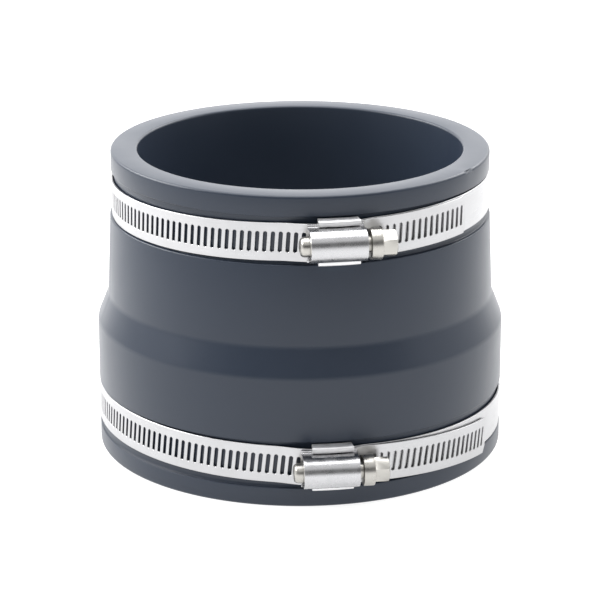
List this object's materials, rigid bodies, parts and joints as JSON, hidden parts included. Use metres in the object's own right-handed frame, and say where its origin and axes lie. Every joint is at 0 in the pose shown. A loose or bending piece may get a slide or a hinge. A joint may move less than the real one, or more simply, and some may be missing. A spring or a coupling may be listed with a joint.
{
  "type": "flexible rubber pipe coupling",
  "caption": "Flexible rubber reducing sleeve that joins two pipe ends of unlike diameter, drawn tight by slotted steel band clamps with worm screws.",
  "frame": {"origin": "middle of the coupling's footprint, on the surface that its large end stands on; the sleeve's own axis is parallel to Z at x = 0, y = 0.005666, because the screw housings stick out towards -Y", "axes": "+Z along the sleeve's axis towards its small end; the screw housings face -Y and their screw heads point along +X"},
  "size_m": [0.1408, 0.152, 0.1044],
  "materials": {
    "sleeve_rubber": "moulded, satin",
    "band_steel": "cold rolled stainless strip, bright",
    "saddle_steel": "pressed stainless, bright",
    "housing_steel": "pressed stainless, tumbled",
    "screw_steel": "rolled and headed, plated"
  },
  "bodies": {
    "sleeve": {"sleeve": "sleeve_rubber", "upper_band": "band_steel", "upper_saddle": "saddle_steel", "upper_housing": "housing_steel", "lower_band": "band_steel", "lower_saddle": "saddle_steel", "lower_housing": "housing_steel"},
    "upper_screw": {"upper_screw": "screw_steel"},
    "lower_screw": {"lower_screw": "screw_steel"}
  },
  "joints": [
    {"name": "upper_screw_turn", "type": "hinge", "parent": "sleeve", "child": "upper_screw", "pos_m": [0.00012, -0.06488, 0.0896], "axis": [1, 0.0017, 0], "continuous": true, "deforming": ["upper_band"]},
    {"name": "lower_screw_turn", "type": "hinge", "parent": "sleeve", "child": "lower_screw", "pos_m": [-0.00279, -0.07033, 0.0146], "axis": [0.9993, -0.0366, 0], "continuous": true, "deforming": ["lower_band"]}
  ]
}
